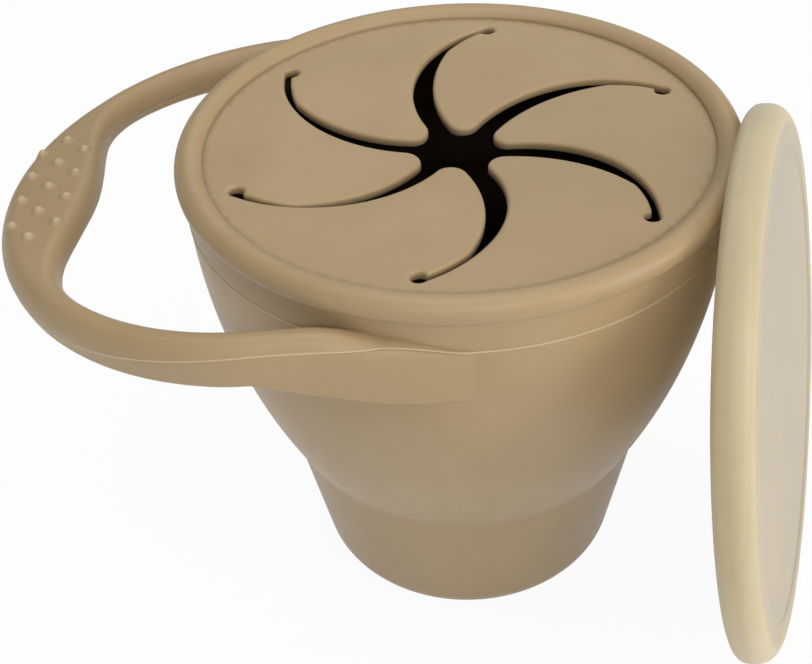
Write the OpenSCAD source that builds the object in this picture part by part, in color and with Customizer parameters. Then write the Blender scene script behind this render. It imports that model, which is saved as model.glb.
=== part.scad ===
// Collapsible snack cup with a loop handle, a slit lid and a snap-on dust cover, in millimetres.
// The origin is the centre of the foot, on the table. +Z is up and the handle points along -X.

/* [Cup] */
// Outer radius of the cup at its rim
cup_radius = 47.5; // [45.5:0.25:49.5]
// Height of the rim above the table
cup_height = 90; // [86:0.5:96]
// Height over which the wall below the rim stands upright
rim_band = 4; // [2:0.5:8]
// Outer radius of the waist, where the base meets the fold
waist_radius = 34.4; // [32:0.2:37]
// Height of the waist
waist_height = 31.3; // [27:0.5:35]
// Height of the top of the thin fold
fold_top = 58; // [52:1:64]
// Radius of the flat foot
foot_radius = 22.8; // [19:0.4:26]
// Rounding between the foot and the side of the base
foot_rounding = 6.75; // [4:0.25:9]
// Thickness of the floor
floor_wall = 2.6; // [1.6:0.2:4]
// Thickness of the side of the base
base_wall = 2.4; // [1.6:0.2:3.4]
// Thickness of the thin web that folds
fold_wall = 1.4; // [0.8:0.1:2]
// Thickness of the collar above the fold
collar_wall = 2.6; // [1.8:0.1:3.4]
// Rounding of the inner edges of the base and the collar
edge_rounding = 0.9; // [0.4:0.1:1.4]

/* [Handle] */
// Distance from the cup's axis to the centre of the loop's bend
loop_reach = 31.8; // [28:0.1:36]
// How far the loop's outer face lies outside the line of the cup's rim
loop_outset = 1.8; // [0.6:0.1:2.4]
// Width of an arm
arm_width = 5.7; // [5:0.1:8]
// Width of the grip pad at its middle
pad_width = 15.7; // [11:0.1:18]
// Sharpness of the inner corners between the arms and the pad
pad_corner = 8; // [4:1:24]
// Bow of the pad's inner edge towards the cup, where 1 is straight
pad_bow = 1.9; // [1:0.1:3]
// Depth of the handle's parting plane below the cup's rim, where the arms leave the cup
handle_drop = 6.9; // [6.5:0.1:11]
// Slope at which the soft handle sags away from the cup, in degrees
handle_sag = 4.6; // [0:0.1:6]
// Distance from the cup's axis at which the sag sets in
sag_start = 18; // [10:0.5:24]
// Rise of the domed top above the parting plane
dome_rise = 4.0; // [2:0.1:4.5]
// Width of the dome's rounding at each edge of the pad
dome_edge = 3.2; // [2:0.1:3.4]
// Depth of an arm below the parting plane where it meets the bend
arm_depth = 5.0; // [4:0.1:7]
// Depth of the pad below the parting plane
pad_depth = 3.2; // [2.4:0.1:5]
// Depth of an arm below the parting plane where it meets the cup
root_depth = 10.4; // [7:0.1:12]
// How much shallower the handle's inner side is than its outer side
inner_less = 1.4; // [0:0.1:2]
// Inward draft of the sides below the parting plane
arm_draft = 0.6; // [0.2:0.1:1]
// Radius of a grip bump
bump_radius = 1.3; // [0.9:0.1:1.6]
// Height of a grip bump above the pad
bump_rise = 0.9; // [0.5:0.1:1.2]
// Distance between grip bumps along a row
bump_pitch = 7.7; // [6:0.1:9]
// Distance between the rows of grip bumps
bump_row = 4.1; // [3:0.1:4.8]

/* [Snack lid] */
// Overhang of the lid's rolled rim beyond the cup's wall
lid_overhang = 1.3; // [1:0.1:3]
// Width of the rolled rim, from its outer edge in to the slit face
rim_width = 5.1; // [4.4:0.1:6.2]
// Distance of the rim's crest from its outer edge
crest_in = 3.3; // [2.6:0.1:3.8]
// Rise of the rim's crest above the slit face
rim_rise = 2.6; // [1.6:0.1:3.6]
// Thickness of the slit face
face_wall = 1.7; // [1.2:0.1:2.4]
// Height of the slit face above the cup's rim
face_lift = 1.1; // [0.8:0.1:1.6]
// Depth of the rim's skirt below the cup's rim
skirt_depth = 1.6; // [1:0.1:2.6]
// Depth of the plug inside the cup, below the slit face
plug_depth = 3.7; // [2.5:0.1:6]
// Thickness of the plug
plug_wall = 1.7; // [1:0.1:2]
// Gap between the lid and the cup's wall, each side
lid_gap = 0.15; // [0.1:0.05:0.4]

/* [Slits] */
// Angle of the first end hole from +X
star_turn = 21.96; // [0:0.01:60]
// Width of the plain border outside the circle through the end holes
hole_border = 4.3; // [3.3:0.1:5.3]
// Radius of the circle through the end holes for which the slit sizes below are given
pattern_circle = 39.4; // [38.4:0.1:40.4]
// Radius of an end hole
hole_radius = 1.35; // [1:0.05:1.8]
// Radius of the outer edge of a slit
outer_bow = 24.4; // [24.2:0.1:24.8]
// Distance from the end hole in to the centre of the outer edge
outer_in = 18.9; // [18.6:0.1:19.2]
// Distance from the end hole sideways to the centre of the outer edge
outer_side = 13.4; // [13:0.1:13.8]
// Radius of the inner edge of a slit
inner_bow = 27; // [26.8:0.1:27.2]
// Distance from the end hole in to the centre of the inner edge
inner_in = 15.2; // [15:0.1:15.4]
// Distance from the end hole sideways to the centre of the inner edge
inner_side = 19.1; // [18.9:0.1:19.4]
// Width of the narrow end of a slit
slit_width = 1.2; // [0.9:0.1:1.6]
// Rounding of a petal's tip
tip_rounding = 2.9; // [2.4:0.1:3.4]
// Droop of a petal below the slit face, in degrees
petal_droop = 3.8; // [0:0.1:8]
// Length along the hinge line that the slit takes up at its start
root_start = 6; // [4:0.5:8]
// Gap round a petal's rounded root
root_gap = 0.1; // [0.05:0.05:0.2]
// Swing of a petal into the cup that the lid's lower edge makes room for, in degrees
petal_swing = 76; // [40:1:80]

/* [Dust cover] */
// Gap between the dust cover and the lid's rim when it is snapped on
cover_gap = 0.0; // [0:0.05:0.5]
// Thickness of the dust cover's wall
cover_wall = 0.8; // [0.6:0.1:1.2]
// Depth of the dust cover from its face to its mouth
cover_depth = 6.6; // [6.2:0.1:8]
// Rounding between the dust cover's face and its side
cover_edge = 3.8; // [3.2:0.1:4.2]
// Rounding with which the side turns in at the mouth
mouth_edge = 1.9; // [1.6:0.1:2]
// Angle through which the mouth turns in
cover_wrap = 72; // [40:1:80]
// Width of the raised border on the dust cover's face
border_width = 3; // [1.5:0.5:6]
// Depth of the recess inside the border
border_step = 0.4; // [0.2:0.1:0.5]
// Direction in which the leaning cover faces, in degrees from +X
cover_azimuth = -14.79; // [-20:0.01:10]
// Lean of the cover towards the cup, in degrees
cover_lean = 9.5; // [4:0.1:14]
// Distance kept between the leaning cover's mouth and the bead of the lid's rim
cover_clear = 1.2; // [0.25:0.05:1.5]
// Distance of the leaning cover's centre to the side of the cup's axis
cover_side = -2.5; // [-6:0.1:2]

/* [Hidden] */
$fn = 96;
silicone = "#b29c78";
frosted = "#d8cdb6";

// Number of petals, which the node names and the droops below follow
petals = 6;

// The cup's side is one arc, upright at side_top and running down to the waist.
side_top = cup_height - rim_band;
side_in = cup_radius - waist_radius;
side_fall = side_top - waist_height;
side_bow = (side_in * side_in + side_fall * side_fall) / (2 * side_in);

// Small differences between the droops of the six petals, as the soft lid has settled
droop_spread = [1.3, 0.0, 0.1, -1.6, -0.2, 0.3];

// Places that the handle takes from the cup
handle_height = cup_height - handle_drop;
loop_radius = cup_radius + loop_outset;
pad_inner = loop_radius - pad_width;

// Radii, heights and steps of the lid, which follow the cup
lid_radius = cup_radius + lid_overhang;
rim_inner = lid_radius - rim_width;
rim_crest = lid_radius - crest_in;
hole_circle = rim_inner - hole_border;
face_top = cup_height + face_lift;
hinge_height = face_top - face_wall / 2;
step = 360 / petals;
cup_inner = cup_radius - collar_wall;
rim_top = face_top + rim_rise;
rim_waist = rim_top - (lid_radius - rim_crest);
skirt_bottom = cup_height - skirt_depth;
skirt_land = 0.3;
bead_start = 10;

// Points along an elliptical arc from angle a0 to a1, in the (r, z) plane
function arc(c, ax, az, a0, a1, n) =
  [for (i = [0:n]) let (a = a0 + (a1 - a0) * i / n) [c[0] + ax * cos(a), c[1] + az * sin(a)]];

// Angle at which a line from a circle's edge, tangent to it, runs up to point p
function tangent_angle(c, r, p) =
  let (v = p - c) atan2(v[1], v[0]) - acos(r / norm(v));

// Outer radius of the cup at height z, above the waist
function side_r(z) =
  z >= side_top ? cup_radius : cup_radius - side_bow + sqrt(pow(side_bow, 2) - pow(side_top - z, 2));

// The cup's outer side between two heights, from the lower to the upper, drawn in by a wall
function side_points(z0, z1, wall, n) =
  [for (i = [0:n]) let (z = z0 + (z1 - z0) * i / n) [side_r(z) - wall, z]];

function turned(v, a) = [v[0] * cos(a) - v[1] * sin(a), v[0] * sin(a) + v[1] * cos(a)];

// The point at distance ra from a and rb from b, on the left of the line from a to b
function meet(a, ra, b, rb) =
  let (d = norm(b - a), k = (ra * ra - rb * rb + d * d) / (2 * d), u = (b - a) / d)
  a + k * u + sqrt(ra * ra - k * k) * [-u[1], u[0]];

module revolved(points) {
  rotate_extrude() polygon(points);
}

// Base: a drafted bowl with a rounded foot, up to the waist
module cup_base() {
  outer_c = [foot_radius, foot_rounding];
  inner_r = max(foot_rounding - base_wall, 1);
  inner_c = [foot_radius, floor_wall + inner_r];
  rim = [waist_radius, waist_height];
  inner_rim = [waist_radius - base_wall, waist_height];
  color(silicone) revolved(concat(
    [[0, 0]],
    arc(outer_c, foot_rounding, foot_rounding, -90, tangent_angle(outer_c, foot_rounding, rim), 8),
    [rim],
    [inner_rim],
    arc(inner_c, inner_r, inner_r, tangent_angle(inner_c, inner_r, inner_rim), -90, 8),
    [[0, floor_wall]]));
}

// Fold: the thin web that rolls inside the collar when the cup is pressed flat
module cup_fold() {
  color(silicone) revolved(concat(
    side_points(waist_height, fold_top, 0, 8),
    [for (i = [0:8]) side_points(waist_height, fold_top, fold_wall, 8)[8 - i]]));
}

// The collar's solid outside, also used to trim the handle's arms
function collar_side() = side_points(fold_top, cup_height, 0, 10);

module cup_collar() {
  bottom_inner = side_r(fold_top) - collar_wall;
  color(silicone) revolved(concat(
    collar_side(),
    [[cup_inner + edge_rounding, cup_height]],
    arc([cup_inner + edge_rounding, cup_height - edge_rounding], edge_rounding, edge_rounding, 90, 180, 4),
    [for (i = [1:8]) side_points(fold_top, side_top, collar_wall, 8)[8 - i]],
    [[bottom_inner, fold_top]]));
}

// Cross-section of the handle: u runs inward from the outer face, h up from the parting plane
function dome_edge_of(w) = min(dome_edge, w / 2);
function handle_section(w, deep_out, deep_in) =
  let (e = dome_edge_of(w), n = 6, r = arm_draft)
  concat(
    [[r + edge_rounding, -deep_out], [r, edge_rounding - deep_out]],
    [for (i = [0:n]) let (a = 90 * i / n) [e * (1 - cos(a)), dome_rise * sin(a)]],
    [for (i = [0:n]) let (a = 90 - 90 * i / n) [w - e * (1 - cos(a)), dome_rise * sin(a)]],
    [[w - r, edge_rounding - deep_in], [w - r - edge_rounding, -deep_in]]);

// Inner radius of the bend at an angle from the pad's middle, with the bowed pad edge blended in
inner_radius = loop_radius - arm_width;
function bend_inner(a) =
  let (pad = pad_inner / pow(max(cos(a), 0.2), pad_bow))
  pow(pow(inner_radius, -pad_corner) + pow(pad, -pad_corner), -1 / pad_corner);

// Share of the way from arm (0) to pad (1) at an angle from the pad's middle
pad_spread = 85;
function pad_share(a) = max(0, (cos(a) - cos(pad_spread)) / (1 - cos(pad_spread)));

// Height lost to the sag at a place along X: level near the cup, then an even slope
sag_ease = 6;
function sag(x) =
  let (t = max(-x - sag_start, 0)) tan(handle_sag) * (sqrt(t * t + sag_ease * sag_ease) - sag_ease);

// One ring of the handle at a point of the loop's outer face, looking inward along dir
function ring(at, dir, w, deep) =
  [for (p = handle_section(w, deep, deep - inner_less))
    let (x = at[0] + dir[0] * p[0]) [x, at[1] + dir[1] * p[0], handle_height - sag(x) + p[1]]];

// Each arm runs along the cup's side and sinks into its wall at root_end
arm_rings = 12;
bend_rings = 32;
root_full = -1;
root_end = 6;
tuck_start = -14;
root_tuck = loop_radius + 0.4 - sqrt(cup_radius * cup_radius - root_end * root_end);
function arm_side(x) = loop_radius - root_tuck * pow(max(x - tuck_start, 0) / (root_end - tuck_start), 2);
function arm_deep(x) =
  arm_depth + (root_depth - arm_depth) * sin(90 * min((x + loop_reach) / (root_full + loop_reach), 1));
function arm_ring(x, side) = ring([x, side * arm_side(x)], [0, -side], arm_width, arm_deep(x));
function bend_ring(a) =
  let (out = [-cos(a), -sin(a)])
  ring([-loop_reach, 0] + loop_radius * out, -out, loop_radius - bend_inner(a),
    arm_depth + (pad_depth - arm_depth) * pad_share(a));

function loop_rings() = concat(
  [for (i = [0:arm_rings - 1]) arm_ring(root_end - (root_end + loop_reach) * i / arm_rings, -1)],
  [for (i = [0:bend_rings]) bend_ring(90 - 180 * i / bend_rings)],
  [for (i = [1:arm_rings]) arm_ring(-loop_reach + (root_end + loop_reach) * i / arm_rings, 1)]);

// A closed skin over a list of rings with equal numbers of points
module lofted(rings) {
  m = len(rings[0]);
  n = len(rings);
  points = [for (r = rings) each r];
  sides = [for (i = [0:n - 2], j = [0:m - 1])
    let (a = i * m + j, b = i * m + (j + 1) % m, c = (i + 1) * m + (j + 1) % m, d = (i + 1) * m + j)
    each [[a, c, b], [a, d, c]]];
  caps = [[for (j = [0:m - 1]) j], [for (j = [0:m - 1]) n * m - 1 - j]];
  polyhedron(points, concat(sides, caps), convexity = 6);
}

module bump(x, y) {
  top = handle_height - sag(x) + dome_rise + bump_rise;
  translate([x, y, top - bump_radius]) sphere(bump_radius, $fn = 14);
}

// Handle: a lofted loop that leaves the collar on two tangent arms and widens into a grip pad
module handle() {
  pad_middle = -loop_reach - (pad_inner + loop_radius) / 2;
  color(silicone) {
    difference() {
      lofted(loop_rings());
      revolved(concat([[0, fold_top]], collar_side(), [[0, cup_height]]));
    }
    for (j = [-2:2]) bump(pad_middle, j * bump_pitch);
    for (s = [-1, 1], j = [-1.5:1.5]) bump(pad_middle + s * bump_row, j * bump_pitch);
  }
}

// The slit pattern, scaled to the lid, in the frame of one slit: its end hole lies on +X
scale_up = hole_circle / pattern_circle;
outer_edge = outer_bow * scale_up;
inner_edge = inner_bow * scale_up;
tip_edge = tip_rounding * scale_up;
hole_at = [hole_circle, 0];
outer_at = [hole_circle - outer_in * scale_up, -outer_side * scale_up];
inner_at = [hole_circle - inner_in * scale_up, -inner_side * scale_up];
next_outer_at = turned(outer_at, step);
next_inner_at = turned(inner_at, step);
tip_at = meet(outer_at, outer_edge + tip_edge, next_inner_at, inner_edge - tip_edge);
tip_left = outer_at + (tip_at - outer_at) * outer_edge / (outer_edge + tip_edge);
tip_right = next_inner_at + (tip_at - next_inner_at) * inner_edge / (inner_edge - tip_edge);
tip_apex = meet(outer_at, outer_edge, next_inner_at, inner_edge);
trim_reach = 4;
function trim_corner(p) = tip_at + trim_reach * (p - tip_at);
chord_mid = hole_circle * cos(step / 2);
chord_half = hole_circle * sin(step / 2);

// Plan of a petal: two bowed edges, a rounded tip and the straight hinge line
module petal_plan() {
  difference() {
    intersection() {
      translate(next_inner_at) circle(inner_edge);
      translate(next_outer_at) circle(outer_edge - slit_width);
      rotate(step / 2) translate([0, root_start - chord_half]) square([chord_mid, 4 * chord_half]);
    }
    translate(outer_at) circle(outer_edge);
    translate(turned(hole_at, step)) circle(hole_radius);
    polygon([tip_at, trim_corner(tip_left), trim_corner(tip_apex), trim_corner(tip_right)]);
  }
  translate(tip_at) circle(tip_edge);
}

// Plan of the first part of a slit, which runs just outside the hinge line
module slit_start() {
  intersection() {
    translate(outer_at) circle(outer_edge);
    rotate(step / 2) translate([chord_mid - slit_width, -chord_half]) square([3 * slit_width, root_start]);
  }
}

// Petal: hinged along the line between two end holes by a rounded root
module petal(k) {
  root_length = 2 * chord_half - root_start - hole_radius - 2 * root_gap;
  color(silicone)
    rotate([0, 0, star_turn + step * k + step / 2])
      translate([chord_mid, 0, hinge_height])
        rotate([0, -(petal_droop + droop_spread[k]), 0]) {
          translate([-chord_mid, 0, -face_wall / 2])
            rotate([0, 0, -step / 2]) linear_extrude(face_wall) petal_plan();
          translate([0, root_start - chord_half, 0])
            rotate([-90, 0, 0]) cylinder(r = face_wall / 2, h = root_length, $fn = 32);
        }
}

// Snack lid: rolled rim, plug inside the cup and the border that the petals hang from
module snack_lid() {
  plug_outer = cup_inner - lid_gap;
  skirt_inner = cup_radius + lid_gap;
  skirt_mid = (skirt_inner + lid_radius) / 2;
  color(silicone) difference() {
    revolved(concat(
      [[0, face_top - face_wall], [plug_outer - plug_wall, face_top - face_wall]],
      [[plug_outer - plug_wall, face_top - plug_depth], [plug_outer, face_top - plug_depth]],
      [[plug_outer, cup_height], [skirt_inner, cup_height], [skirt_inner, skirt_bottom + skirt_land]],
      arc([skirt_mid, rim_waist], lid_radius - skirt_mid, rim_waist - skirt_bottom, -90, 0, 5),
      arc([rim_crest, rim_waist], lid_radius - rim_crest, rim_top - rim_waist, bead_start, 90, 8),
      arc([rim_crest, face_top], rim_crest - rim_inner, rim_rise, 90 + bead_start, 180, 6),
      [[0, face_top]]));
    rotate([0, 0, star_turn]) {
      translate([0, 0, face_top - 2 * face_wall]) cylinder(r = hole_circle, h = 3 * face_wall, $fn = petals);
      for (k = [0:petals - 1]) rotate([0, 0, step * k]) {
        translate([hole_circle, 0, face_top - 2 * face_wall]) cylinder(r = hole_radius, h = 3 * face_wall);
        translate([0, 0, face_top - 2 * face_wall]) linear_extrude(3 * face_wall) slit_start();
        rotate([0, 0, step / 2])
          translate([chord_mid, -chord_half, hinge_height])
            rotate([-90, 0, 0]) cylinder(r = face_wall / 2 + root_gap, h = 2 * chord_half, $fn = 32);
        rotate([0, 0, step / 2])
          translate([chord_mid, root_start - chord_half, hinge_height])
            rotate([0, -petal_swing, 0])
              translate([-2 * face_wall, 0, -face_wall / 2 - root_gap])
                cube([2 * face_wall, 2 * chord_half - root_start, face_wall + 2 * root_gap]);
      }
    }
  }
}

// The dust cover's outside, its straight side and the lip at its mouth
cover_radius = lid_radius + cover_gap + cover_wall;
cover_straight = cover_depth - cover_edge - mouth_edge;
lip_bend = mouth_edge - cover_wall / 2;
lip_radius = cover_radius - mouth_edge + lip_bend * cos(cover_wrap);
lip_back = cover_straight + lip_bend * sin(cover_wrap);

// The leaning cover stands on the edge of its mouth. Its lip stays clear of the bead of the lid's rim
cover_centre = (cover_radius - mouth_edge) * cos(cover_lean) + cover_straight * sin(cover_lean) + mouth_edge;
bead_reach = lid_radius - rim_crest + cover_wall / 2 + cover_clear;
function lip_side(t) = cover_side + lip_radius * sin(t);
function lip_rise(t) = cover_centre + lip_radius * cos(t) * cos(cover_lean) - lip_back * sin(cover_lean) - rim_waist;
function lip_stop(t) =
  let (left = pow(bead_reach, 2) - pow(lip_rise(t), 2), out = rim_crest + sqrt(max(left, 0)))
  left <= 0 ? 0 : sqrt(max(out * out - pow(lip_side(t), 2), 0))
    + lip_back * cos(cover_lean) + lip_radius * cos(t) * sin(cover_lean);

// Where the rim reaches into the cover's hollow, the inside of the face stays clear of the bead as well
face_inside = cover_edge - cover_wall - border_step;
face_stop = rim_crest
  + ((rim_waist - cover_centre) * sin(cover_lean) + bead_reach - cover_wall / 2 - face_inside) / cos(cover_lean);
cover_reach = max(face_stop, max([for (t = [-90:90]) lip_stop(t)]));

// Dust cover, shown as it leans: a shallow translucent cap whose mouth snaps over the lid's rim
module dust_cover() {
  face_corner = [cover_radius - cover_edge, 0];
  mouth_corner = [cover_radius - mouth_edge, -cover_straight];
  corner_inside = cover_edge - cover_wall;
  mouth_inside = mouth_edge - cover_wall;
  face = cover_edge;
  border_at = cover_radius - cover_edge - border_width;
  color(frosted)
    rotate([0, 0, cover_azimuth])
      translate([cover_reach, cover_side, cover_centre])
        rotate([0, 90 - cover_lean, 0])
          revolved(concat(
            [[0, face - border_step], [border_at - border_step, face - border_step], [border_at, face]],
            arc(face_corner, cover_edge, cover_edge, 90, 0, 8),
            arc(mouth_corner, mouth_edge, mouth_edge, 0, -cover_wrap, 6),
            arc(mouth_corner, mouth_inside, mouth_inside, -cover_wrap, 0, 6),
            arc(face_corner, corner_inside, corner_inside, 0, 90, 8),
            [[border_at - cover_wall, face - cover_wall], [border_at - cover_wall - border_step, face_inside]],
            [[0, face_inside]]));
}

module petal_1() petal(0);
module petal_2() petal(1);
module petal_3() petal(2);
module petal_4() petal(3);
module petal_5() petal(4);
module petal_6() petal(5);

cup_base();
cup_fold();
cup_collar();
handle();
snack_lid();
petal_1();
petal_2();
petal_3();
petal_4();
petal_5();
petal_6();
dust_cover();
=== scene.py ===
"""Looks of the collapsible snack cup: its skins, materials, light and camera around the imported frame.

Lengths in this file are in millimetres, in the frame of the CAD model, until a mesh is made.
"""

import math

import bpy
import numpy as np
from mathutils import Matrix, Vector
from mathutils.geometry import delaunay_2d_cdt


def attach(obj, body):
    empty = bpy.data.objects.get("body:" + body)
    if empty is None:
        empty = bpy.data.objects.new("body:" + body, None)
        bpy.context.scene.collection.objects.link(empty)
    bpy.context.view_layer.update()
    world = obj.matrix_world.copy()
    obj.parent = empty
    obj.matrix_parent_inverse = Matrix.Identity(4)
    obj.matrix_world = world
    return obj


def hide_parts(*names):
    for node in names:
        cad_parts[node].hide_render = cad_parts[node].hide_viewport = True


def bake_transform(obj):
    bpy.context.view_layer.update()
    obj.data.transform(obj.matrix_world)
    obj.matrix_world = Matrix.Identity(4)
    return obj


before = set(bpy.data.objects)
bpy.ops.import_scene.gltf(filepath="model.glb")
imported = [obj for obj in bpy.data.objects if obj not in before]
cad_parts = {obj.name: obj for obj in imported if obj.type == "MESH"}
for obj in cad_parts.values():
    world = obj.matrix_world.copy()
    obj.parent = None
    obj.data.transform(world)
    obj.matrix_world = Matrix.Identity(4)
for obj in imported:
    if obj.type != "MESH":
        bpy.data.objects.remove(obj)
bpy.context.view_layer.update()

MM = 0.001

# Cup: the same sizes as in the CAD model
CUP_R, CUP_H, RIM_BAND = 47.5, 90.0, 4.0
WAIST_R, WAIST_Z, WAIST_ROUND = 34.4, 31.3, 1.3
FOLD_Z, FOLD_EASE = 58.0, 3.0
FOOT_R, FOOT_ROUND = 22.8, 6.75
FLOOR, BASE_WALL, FOLD_WALL, COLLAR_WALL = 2.6, 2.4, 1.4, 2.6
LIP_ROUND = 0.9
PARTING = 83.1

# The cup's moulding line: (height from the parting plane, how far it stands out), and half its crest
RIDGE = ((-0.3, 0.0), (-0.16, 0.05), (-0.07, 0.13), (0.07, 0.13), (0.16, 0.05), (0.3, 0.0))
RIDGE_HALF = 0.09

# Painted shade inside the cup: how dark it gets, how far below the rim that starts, and over what depth
INSIDE_DARK, DARK_START, DARK_OVER = 0.97, 0.5, 9.0

# Handle: the loop and its pad, then the section of the arms
LOOP_X, LOOP_R, ARM_W = -31.8, 49.3, 5.7
PAD_IN, PAD_SHARP, PAD_BOW, PAD_SPREAD = 33.6, 8.0, 1.9, 85.0
DOME, DOME_EDGE, EDGE_SHARE = 4.0, 3.2, 0.47
ARM_DEEP, PAD_DEEP, ROOT_DEEP, INNER_LESS, DRAFT = 5.0, 3.2, 10.4, 1.4, 0.6
FILLET = 1.15
ROOT_FULL, ROOT_END, TUCK_START, ROOT_TUCK = -1.0, 6.0, -14.0, 0.4
SAG, SAG_START, SAG_EASE = 4.6, 18.0, 6.0

# The handle's moulding line: how far it climbs and sinks, each from a place along X and over a length
LINE_RISE, RISE_FROM, RISE_OVER = 1.7, 4.0, 15.0
LINE_DROP, DROP_FROM, DROP_OVER = 3.3, -28.0, 50.0
LINE_OUT, LINE_TOP, LINE_FOOT, LINE_CLEAR = 0.09, 0.07, 0.15, 0.45
FLAT_FROM, FLAT_OVER = -23.0, 24.0

# Grip bumps, and how strong the painted highlight on their tops is
BUMP_PITCH, BUMP_ROW, BUMP_RISE, BUMP_FOOT = 7.7, 4.1, 0.85, 1.2
BUMP_POWER, BUMP_HIGHLIGHT, BUMP_FLOOR = 1.1, 0.6, 0.8

# Lid: its rim is fitted to the photograph, and is up to 0.8 mm slimmer than the solid's
LID_R, RIM_IN, CREST_R = 48.8, 43.85, 46.3
FACE_Z, FACE_WALL = 91.2, 1.7
RIM_Z, RIM_POWER = 93.0, 1.7
RIM_WAIST = RIM_Z - (LID_R - CREST_R)
SKIRT_Z, SKIRT_CLEAR, PLUG_Z = 89.2, 0.15, 87.4
PLUG_OUT, PLUG_IN = 44.75, 43.05
# Painted shade in the crease at the rim's inner foot and on the plug inside the cup
CREASE_DARK, CREASE_OVER, PLUG_DARK = 0.3, 0.8, 0.9

# Petals: the slits between them, how far each one droops at rest, and its bend, edges and painted shades
HOLE_AT, HOLE_R, STAR_TURN = 39.4, 1.35, 21.96
SLIT_W, TIP_R = 1.2, 2.9
DROOPS = (5.1, 3.8, 3.9, 2.2, 3.6, 4.1)
DROOP_MORE, BEND_OVER, BEND_OUT, BEND_IN = 1.08, 5.0, 0.6, 5.5
ROUND_TOP, ROUND_LOW, ROUND_STEPS = 0.62, 0.25, 7
ARC_STEP, EDGE_STEP, GRID_STEP, RELAX_ROUNDS = 0.25, 0.22, 1.1, 3
SEAM_DARK, WALL_DARK, UNDER_DARK = 0.3, 0.35, 0.6

# Dust cover
COVER_WALL, COVER_DEPTH, COVER_EDGE, MOUTH_EDGE, COVER_WRAP = 0.8, 6.6, 3.8, 1.9, 72.0
BORDER, BORDER_STEP = 3.0, 0.4
COVER_TURN, COVER_LEAN, COVER_SIDE, COVER_REACH = -14.79, 9.5, -2.5, 57.203
COVER_R = LID_R + COVER_WALL
COVER_SIDE_H = COVER_DEPTH - COVER_EDGE - MOUTH_EDGE
RING_TONE, RING_WIDTH, TONE_EASE = 0.55, 2.6, 1.4

# Sides of the turned skins
ROUND_SIDES = 288

# Sockets of a Mix node that mixes colours
MIX_SHARE, MIX_A, MIX_B, MIX_OUT = 0, 6, 7, 2


def rad(a):
    return math.radians(a)


def arc(cx, cy, ax, ay, a0, a1, n):
    """Points along an elliptical arc, both ends included."""
    turns = [rad(a0 + (a1 - a0) * i / n) for i in range(n + 1)]
    return [(cx + ax * math.cos(a), cy + ay * math.sin(a)) for a in turns]


def straight(p, q, n):
    """Points along a straight line from p to q, without p."""
    return [(p[0] + (q[0] - p[0]) * i / n, p[1] + (q[1] - p[1]) * i / n) for i in range(1, n + 1)]


def smooth(t):
    """Eases from 0 to 1 while t goes from 0 to 1, and stays level outside."""
    t = min(max(t, 0.0), 1.0)
    return t * t * (3 - 2 * t)


# ---- mesh helpers

def mark(mesh, key, values):
    """Stores one number a point, for a material to read."""
    layer = mesh.attributes.new(key, "FLOAT", "POINT")
    layer.data.foreach_set("value", np.array(values, np.float32))


def make(name, verts, faces, material, pale=None, shade=None):
    """A smooth mesh object from points in millimetres. pale marks a painted highlight on moulding lines and
    bumps, shade marks painted shade.
    """
    me = bpy.data.meshes.new(name)
    me.from_pydata([tuple(c * MM for c in v) for v in verts], [], faces)
    me.polygons.foreach_set("use_smooth", [True] * len(me.polygons))
    plain = [0.0] * len(verts)
    mark(me, "pale", pale or plain)
    mark(me, "shade", shade or plain)
    me.validate()
    me.update()
    obj = bpy.data.objects.new(name, me)
    bpy.context.collection.objects.link(obj)
    obj.data.materials.append(material)
    return obj


def revolve(name, profile, material, place=None, pales=None, shades=None):
    """A skin turned about the axis from points (r, z). A point on the axis becomes a pole."""
    n = ROUND_SIDES
    verts, rings, pale, shade = [], [], [], []
    for k, (r, z) in enumerate(profile):
        count = 1 if r < 1e-6 else n
        rings.append(list(range(len(verts), len(verts) + count)))
        for i in range(count):
            a = 2 * math.pi * i / n
            verts.append((r * math.cos(a), r * math.sin(a), z))
        pale += [pales[k] if pales else 0.0] * count
        shade += [shades[k] if shades else 0.0] * count
    faces = []
    for a, b in zip(rings, rings[1:]):
        for i in range(n):
            j = (i + 1) % n
            if len(a) == 1 and len(b) == 1:
                continue
            if len(a) == 1:
                faces.append((a[0], b[j], b[i]))
            elif len(b) == 1:
                faces.append((a[i], a[j], b[0]))
            else:
                faces.append((a[i], a[j], b[j], b[i]))
    if place:
        verts = [tuple(place @ Vector(v)) for v in verts]
    return make(name, verts, faces, material, pale, shade)


def close(profile):
    """Closes a profile by repeating its first point a hair away, so that the ends meet."""
    return profile + [(profile[0][0], profile[0][1] + 1e-4)]


# ---- materials

def node(tree, kind, at=(0, 0), **values):
    """Adds a node. A value goes to the input of that name, or else to the node's own setting."""
    n = tree.nodes.new(kind)
    n.location = at
    for key, value in values.items():
        if key in n.inputs:
            n.inputs[key].default_value = value
        else:
            setattr(n, key, value)
    return n


def link(tree, pairs):
    for a, b in pairs:
        tree.links.new(a, b)


def new_material(name):
    m = bpy.data.materials.new(name)
    m.use_nodes = True
    m.node_tree.nodes.clear()
    return m, m.node_tree


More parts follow.
